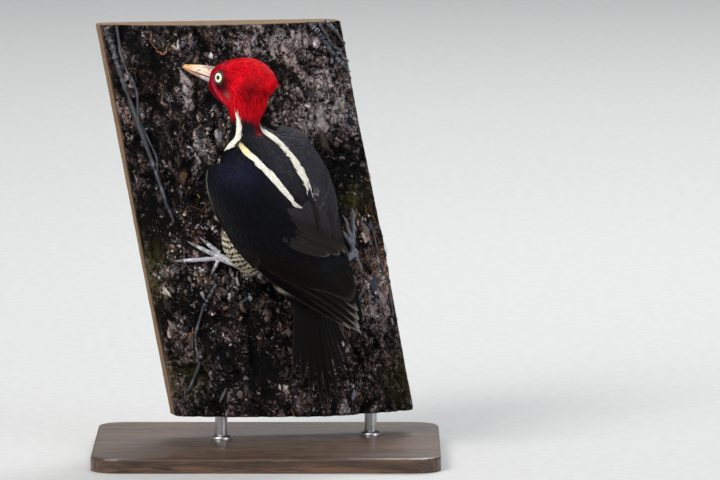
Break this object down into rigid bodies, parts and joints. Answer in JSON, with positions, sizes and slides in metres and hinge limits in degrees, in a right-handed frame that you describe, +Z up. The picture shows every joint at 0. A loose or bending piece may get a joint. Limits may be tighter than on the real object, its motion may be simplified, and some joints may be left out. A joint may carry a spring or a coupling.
{
  "type": "woodpecker model",
  "caption": "Life-size woodpecker with a red head, black and white back and barred belly, clinging to a cut slab of trunk held upright on a flat base by rods",
  "frame": {"origin": "middle of the underside of the stand's base", "axes": "+Z up; the bird's back and the base's long front edge face -Y, the bark is behind the bird towards +Y, and the bill points to -X and +Y"},
  "size_m": [0.28, 0.23, 0.348],
  "materials": {
    "black_plumage": "satin",
    "red_plumage": "satin",
    "barred_plumage": "matte",
    "pale_bill": "satin",
    "eye": "polished",
    "grey_foot": "satin",
    "claw": "satin",
    "bark": "rough bark",
    "base_wood": "satin varnish",
    "rod_steel": "brushed"
  },
  "bodies": {
    "root": {"head": "red_plumage", "neck": "red_plumage", "trunk": "black_plumage", "wing_left": "black_plumage", "wing_right": "black_plumage", "tail": "black_plumage", "thigh_left": "barred_plumage", "thigh_right": "barred_plumage", "bill_upper": "pale_bill", "bill_lower": "pale_bill", "eye_left": "eye", "eye_right": "eye", "foot_left": "grey_foot", "foot_right": "grey_foot", "claw_left_1": "claw", "claw_left_2": "claw", "claw_left_3": "claw", "claw_left_4": "claw", "claw_right_1": "claw", "claw_right_2": "claw", "claw_right_3": "claw", "claw_right_4": "claw", "perch": "bark", "stand_base": "base_wood", "stand_rod_left": "rod_steel", "stand_rod_right": "rod_steel"}
  },
  "joints": []
}
